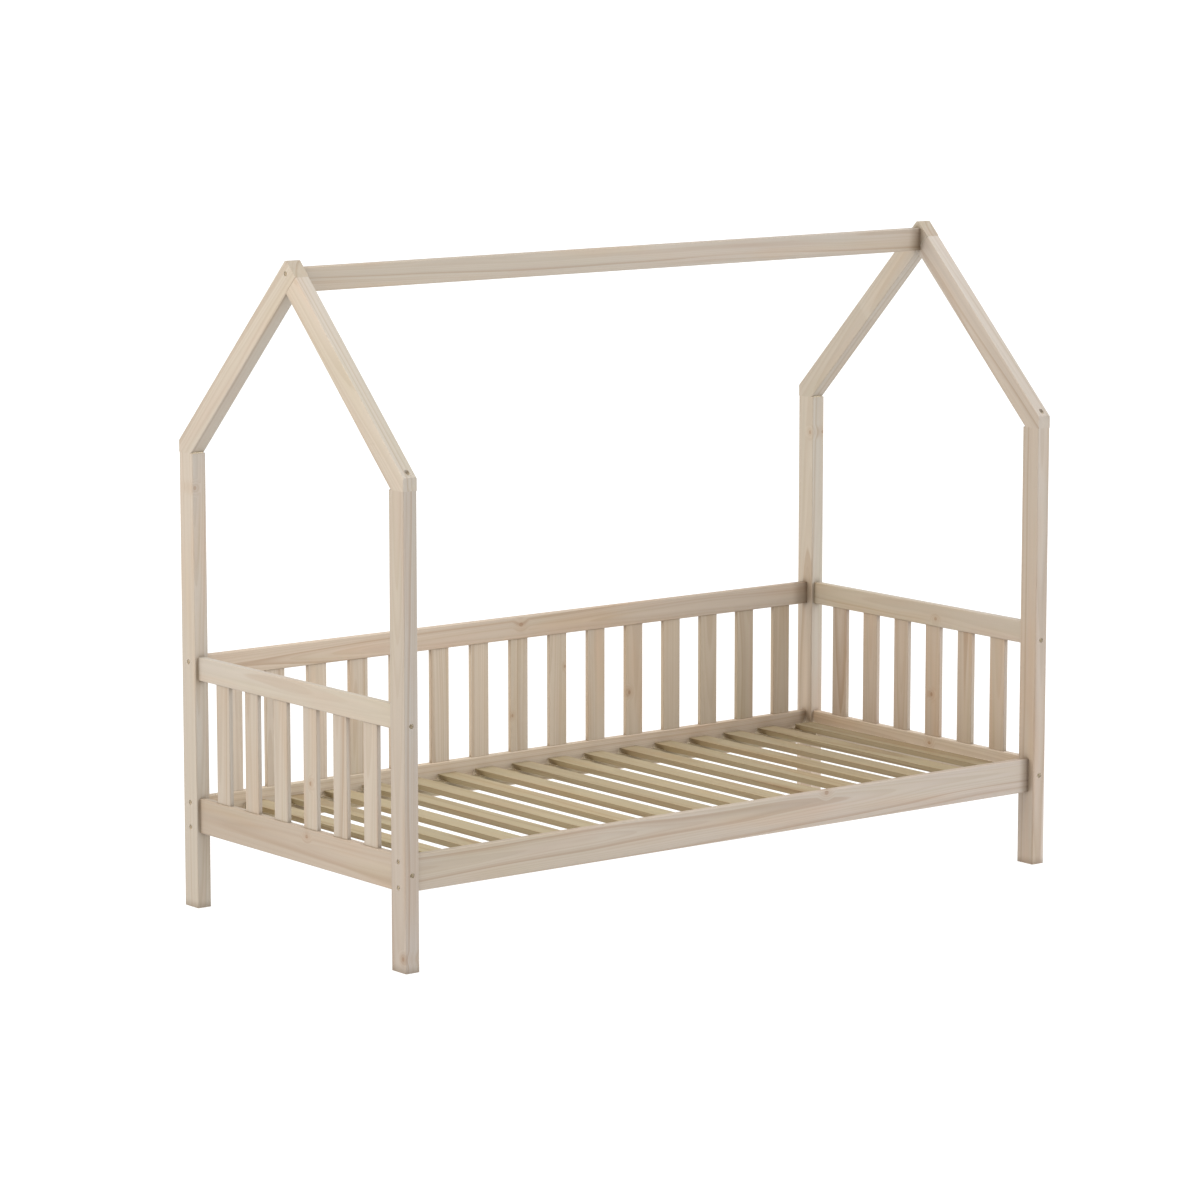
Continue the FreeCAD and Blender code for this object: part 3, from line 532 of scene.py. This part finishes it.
def finish_board(board, slat=False):
    """Makes the pine of one board, darker and unlacquered for the slatted base."""
    settings = timber()
    early = settings.slat_early if slat else settings.early
    late = settings.slat_late if slat else settings.late
    wear(pine(board, early, late), board.node)


# ---------------------------------------------------------------- metal and dowels

ZINC_DULL = (0.58, 0.52, 0.44)
ZINC_BRIGHT = (0.80, 0.73, 0.63)
BEECH_DARK = (0.56, 0.36, 0.20)
BEECH_PALE = (0.66, 0.46, 0.28)
BEECH_FLECK = (0.33, 0.18, 0.09)


def zinc(name):
    """Dull zinc plating, cloudy and finely rough."""
    paint = Paint(name)
    place = paint.object_place()
    cloud = paint.noise(place, 120.0, 3.0, 0.6)
    grain = paint.noise(place, 2600.0, 2.0, 0.5)
    colour = paint.mix(cloud, ZINC_DULL, ZINC_BRIGHT)
    paint.set("Base Color", colour)
    paint.set("Metallic", 0.2)
    paint.set("Roughness", cloud * 0.25 + 0.30)
    paint.bump(0.3, 0.0001, grain)
    return paint.material


def beech(name):
    """Plain beech with short dark flecks."""
    paint = Paint(name)
    place = paint.object_place()
    flecks = paint.noise(place, 900.0, 2.0, 0.7)
    cloud = paint.noise(place, 60.0, 2.0, 0.5)
    colour = paint.mix(cloud, BEECH_DARK, BEECH_PALE)
    colour = paint.mix(paint.ramp_between(flecks, 0.58, 0.70) * 0.5, colour, BEECH_FLECK)
    paint.set("Base Color", colour)
    paint.set("Roughness", flecks * 0.2 + 0.45)
    return paint.material


# ---------------------------------------------------------------- operators

class BedOperator:
    """What all the operators share."""

    bl_options = {"REGISTER", "UNDO"}


class BED_OT_posts(BedOperator, bpy.types.Operator):
    """Finish the four posts"""

    bl_idname = "bed.posts"
    bl_label = "Posts"

    def execute(self, context):
        finish_board(Board("front_left_post", "upright on end", 11, [(-0.548, -0.018, 0.005)],
                           tone=((0.94, 0.94, 0.99), (0.95, 0.97, 1.00))))
        finish_board(Board("front_right_post", "z", 12,
                           tone=((1.10, 1.07, 1.09), (1.00, 1.00, 1.03))))
        finish_board(Board("rear_left_post", "z", 13, [(0.496, -0.009, 0.005)],
                           tone=((0.98, 1.02, 1.06), (1.03, 1.06, 1.12))))
        finish_board(Board("rear_right_post", "upright on end", 14, [(0.485, -0.023, 0.005)],
                           tone=((1.20, 1.17, 1.16), (1.10, 1.13, 1.15))))
        return {"FINISHED"}


class BED_OT_rafters(BedOperator, bpy.types.Operator):
    """Finish the four rafters"""

    bl_idname = "bed.rafters"
    bl_label = "Rafters"

    def execute(self, context):
        finish_board(Board("front_left_rafter", "front slope", 21,
                           tone=((0.98, 1.00, 1.03), (1.02, 1.04, 1.07))))
        finish_board(Board("front_right_rafter", "front slope", 22,
                           tone=((1.08, 1.08, 1.12), (1.17, 1.19, 1.26))))
        finish_board(Board("rear_left_rafter", "rear slope", 23,
                           tone=((1.04, 1.08, 1.13), (1.04, 1.08, 1.13))))
        finish_board(Board("rear_right_rafter", "rear slope", 24,
                           tone=((1.05, 1.08, 1.11), (1.10, 1.15, 1.20))))
        return {"FINISHED"}


class BED_OT_ridge(BedOperator, bpy.types.Operator):
    """Finish the ridge beam"""

    bl_idname = "bed.ridge"
    bl_label = "Ridge beam"

    def execute(self, context):
        finish_board(Board("ridge_beam", "x", 31, ends=(0, 0.045),
                           tone=((1.04, 1.02, 0.99), (1.04, 1.04, 1.06))))
        return {"FINISHED"}


class BED_OT_rails(BedOperator, bpy.types.Operator):
    """Finish the rails of the front, the back and both ends"""

    bl_idname = "bed.rails"
    bl_label = "Rails"

    def execute(self, context):
        finish_board(Board("front_rail", "x", 41, [(0.297, 0.038, 0.006)], ends=(0, 0.036),
                           tone=((0.96, 0.92, 0.88), (1.04, 1.01, 1.03))))
        finish_board(Board("back_bottom_rail", "x", 42, ends=(0, 0.030), contact=0.2,
                           tone=((1.30, 1.24, 1.14), (1.20, 1.12, 1.05))))
        finish_board(Board("back_top_rail", "x", 43, [(0.004, 0.0055, 0.006)],
                           tone=((1.28, 1.19, 1.12), (1.02, 0.96, 0.92)), ends=(0, 0.060)))
        finish_board(Board("left_bottom_rail", "y on edge", 44, [(-0.053, 0.026, 0.005)],
                           tone=((0.97, 0.94, 0.94), (0.93, 0.90, 0.89))))
        finish_board(Board("left_top_rail", "y on edge", 45,
                           tone=((1.06, 1.09, 1.10), (1.07, 1.12, 1.20))))
        finish_board(Board("right_bottom_rail", "y on edge", 46, [(-0.060, 0.024, 0.005)],
                           tone=((1.36, 1.36, 1.38), (1.30, 1.25, 1.20)), contact=0.2))
        finish_board(Board("right_top_rail", "y on edge", 47, [(-0.080, -0.0075, 0.005)],
                           tone=((1.09, 1.11, 1.15), (1.09, 1.11, 1.08))))
        return {"FINISHED"}


BACK_SLATS = 15
BED_SLATS = 17
END_SLAT_PITCH = 0.129       # from one end slat to the next, each with its own figure
# Tints from the left end to the right, partly wood colour and partly painted light and shade.
LEFT_BED_SLAT_TONE_AND_LIGHT = (1.22, 1.22, 1.20)
RIGHT_BED_SLAT_TONE_AND_LIGHT = (0.95, 0.91, 0.86)
LEFT_SLAT_TONE_AND_LIGHT = (1.28, 1.24, 1.21)
RIGHT_SLAT_TONE_AND_LIGHT = (1.01, 0.94, 0.84)
BACK_SLAT_KNOTS = {
    8: [(-0.054, -0.023, 0.004)],
    9: [(0.061, 0.024, 0.004)],
    11: [(-0.034, -0.017, 0.005)],
}


def between(first, second, share):
    """The tint at a share of the way from one to the other."""
    return tuple(a + (b - a) * share for a, b in zip(first, second))


class BED_OT_fence_slats(BedOperator, bpy.types.Operator):
    """Finish the upright slats of the three fences"""

    bl_idname = "bed.fence_slats"
    bl_label = "Fence slats"

    def execute(self, context):
        for number in range(1, BACK_SLATS + 1):
            share = (number - 1) / (BACK_SLATS - 1)
            tone = between(LEFT_SLAT_TONE_AND_LIGHT, RIGHT_SLAT_TONE_AND_LIGHT, share)
            knots = BACK_SLAT_KNOTS.get(number, ())
            finish_board(Board(f"back_fence_slat_{number:02d}", "z", 50 + number, knots,
                               tone=(tone, tone)))
        finish_board(Board("left_fence_slats", "upright on end", 70, [(-0.037, -0.064, 0.005)],
                           pitch=END_SLAT_PITCH, tone=((1.01, 1.02, 1.05), (1.01, 1.02, 1.05))))
        finish_board(Board("right_fence_slats", "upright on end", 71, [(-0.037, -0.063, 0.005)],
                           pitch=END_SLAT_PITCH, tone=((1.10, 1.05, 1.03), (1.10, 1.06, 1.05))))
        return {"FINISHED"}


class BED_OT_bed_slats(BedOperator, bpy.types.Operator):
    """Finish the bed slats and the cleats that carry them"""

    bl_idname = "bed.bed_slats"
    bl_label = "Bed slats"

    def execute(self, context):
        for number in range(1, BED_SLATS + 1):
            share = (number - 1) / (BED_SLATS - 1)
            tone = between(LEFT_BED_SLAT_TONE_AND_LIGHT, RIGHT_BED_SLAT_TONE_AND_LIGHT, share)
            board = Board(f"bed_slat_{number:02d}", "y", 80 + number, tone=(tone, tone),
                          painted_edge_shade=True)
            finish_board(board, slat=True)
        finish_board(Board("front_cleat", "x", 101), slat=True)
        finish_board(Board("back_cleat", "x", 102), slat=True)
        return {"FINISHED"}


class BED_OT_fasteners(BedOperator, bpy.types.Operator):
    """Finish the screws and the dowels"""

    bl_idname = "bed.fasteners"
    bl_label = "Fasteners"

    def execute(self, context):
        wear(zinc("zinc_plating"), "rail_screws", "roof_screws", "slat_screws", "cleat_screws")
        wear(beech("beech_dowels"), "dowels")
        return {"FINISHED"}


class BED_OT_stage(BedOperator, bpy.types.Operator):
    """Make the floor, the lights and the camera"""

    bl_idname = "bed.stage"
    bl_label = "Studio"

    def execute(self, context):
        make_floor()
        make_lights()
        make_camera()
        return {"FINISHED"}


# ---------------------------------------------------------------- studio

FLOOR_SIZE = 240.0
FLOOR_DROP = 0.0005          # so that it doesn't coincide with the feet
FLOOR_DARK = (0.12, 0.12, 0.12)
FLOOR_PALE = (0.14, 0.14, 0.14)
FLOOR_GLOW = 0.96            # a light table: hardly any shadow under the bed
LEFT_SIDE = (-0.853, 0.362, 0.375)
RIGHT_SIDE = (0.556, -0.742, 0.375)
OVERHEAD = (0.0, 0.0, 1.0)
WARM_LIGHT = (1.0, 0.90, 0.76)
COOL_LIGHT = (0.86, 0.93, 1.0)
TOP_LIGHT = (0.97, 0.99, 1.0)
LAMP_PLACE = (-3.3, -0.3, 2.2)
LAMP_TARGET = (-0.8, 0.0, 0.7)
LAMP_SIZE = 1.8
LAMP_LIGHT = (1.0, 0.88, 0.70)
WHITE = (1.0, 1.0, 1.0, 1.0)
SENSOR_WIDTH = 36.0
CLIP_END = 500.0


def make_floor():
    bpy.ops.object.select_all(action="DESELECT")
    bpy.ops.mesh.primitive_plane_add(size=FLOOR_SIZE, location=(0, 0, -FLOOR_DROP))
    floor = bpy.context.object
    floor.name = "studio_floor"
    paint = Paint("studio_floor")
    place = paint.object_place()
    cloud = paint.noise(place, 1.5, 2.0, 0.5)
    paint.set("Base Color", paint.mix(cloud, FLOOR_DARK, FLOOR_PALE))
    paint.set("Emission Color", WHITE)
    paint.set("Emission Strength", FLOOR_GLOW)
    paint.set("Roughness", 0.9)
    floor.data.materials.append(paint.material)


def hang_lamp(name, light, colour):
    light.color = colour
    lamp = bpy.data.objects.new(name, light)
    bpy.context.scene.collection.objects.link(lamp)
    lamp.visible_camera = False
    return lamp


def soft_box(name, place, target, size, power, colour):
    """A round softbox that faces a point of the bed."""
    light = bpy.data.lights.new(name, "AREA")
    light.shape = "DISK"
    light.size = size
    light.energy = power
    lamp = hang_lamp(name, light, colour)
    lamp.location = place
    aim = Vector(target) - Vector(place)
    lamp.rotation_euler = aim.to_track_quat("-Z", "Y").to_euler()


def broad_light(name, direction, strength, colour):
    """An even light from a wide part of the sky."""
    light = bpy.data.lights.new(name, "SUN")
    light.energy = strength
    light.angle = studio().softness
    lamp = hang_lamp(name, light, colour)
    lamp.rotation_euler = (-Vector(direction)).to_track_quat("-Z", "Y").to_euler()


def make_lights():
    settings = studio()
    broad_light("left_light", LEFT_SIDE, settings.left_strength, WARM_LIGHT)
    broad_light("right_light", RIGHT_SIDE, settings.right_strength, COOL_LIGHT)
    broad_light("top_light", OVERHEAD, settings.top_strength, TOP_LIGHT)
    soft_box("side_lamp", LAMP_PLACE, LAMP_TARGET, LAMP_SIZE, settings.lamp_power, LAMP_LIGHT)
    world = bpy.data.worlds.new("studio_sky")
    bpy.context.scene.world = world
    world.use_nodes = True
    background = world.node_tree.nodes["Background"]
    background.inputs["Color"].default_value = WHITE
    background.inputs["Strength"].default_value = settings.sky
    bpy.context.scene.view_settings.view_transform = "Standard"


def make_camera():
    settings = studio()
    camera = bpy.data.cameras.new("camera")
    camera.lens = settings.lens
    camera.sensor_width = SENSOR_WIDTH
    camera.clip_end = CLIP_END
    eye = bpy.data.objects.new("camera", camera)
    bpy.context.scene.collection.objects.link(eye)
    eye.location = settings.eye
    eye.rotation_euler = (math.pi / 2 - settings.pitch, 0, settings.turn)
    bpy.context.scene.camera = eye


# ---------------------------------------------------------------- panel and main

STEPS = ("posts", "rafters", "ridge", "rails", "fence_slats", "bed_slats", "fasteners", "stage")
TIMBER_SETTINGS = (
    "early", "late", "knot", "knot_strength", "slat_early", "slat_late",
    "ring_spacing", "figure", "broad_figure", "gloss",
)


class BED_PT_panel(bpy.types.Panel):
    """The bed's steps and its timber settings"""

    bl_idname = "BED_PT_panel"
    bl_label = "House frame bed"
    bl_space_type = "VIEW_3D"
    bl_region_type = "UI"
    bl_category = "Bed"

    def draw(self, context):
        for step in STEPS:
            self.layout.operator(f"bed.{step}")
        for name in TIMBER_SETTINGS:
            self.layout.prop(context.scene.bed_timber, name)


CLASSES = (
    BED_PG_timber,
    BED_PG_studio,
    BED_OT_posts,
    BED_OT_rafters,
    BED_OT_ridge,
    BED_OT_rails,
    BED_OT_fence_slats,
    BED_OT_bed_slats,
    BED_OT_fasteners,
    BED_OT_stage,
    BED_PT_panel,
)


def register():
    for item in CLASSES:
        bpy.utils.register_class(item)
    bpy.types.Scene.bed_timber = bpy.props.PointerProperty(type=BED_PG_timber)
    bpy.types.Scene.bed_studio = bpy.props.PointerProperty(type=BED_PG_studio)


def unregister():
    del bpy.types.Scene.bed_studio
    del bpy.types.Scene.bed_timber
    for item in reversed(CLASSES):
        bpy.utils.unregister_class(item)


def main():
    register()
    for step in STEPS:
        getattr(bpy.ops.bed, step)()


if __name__ == "__main__":
    main()
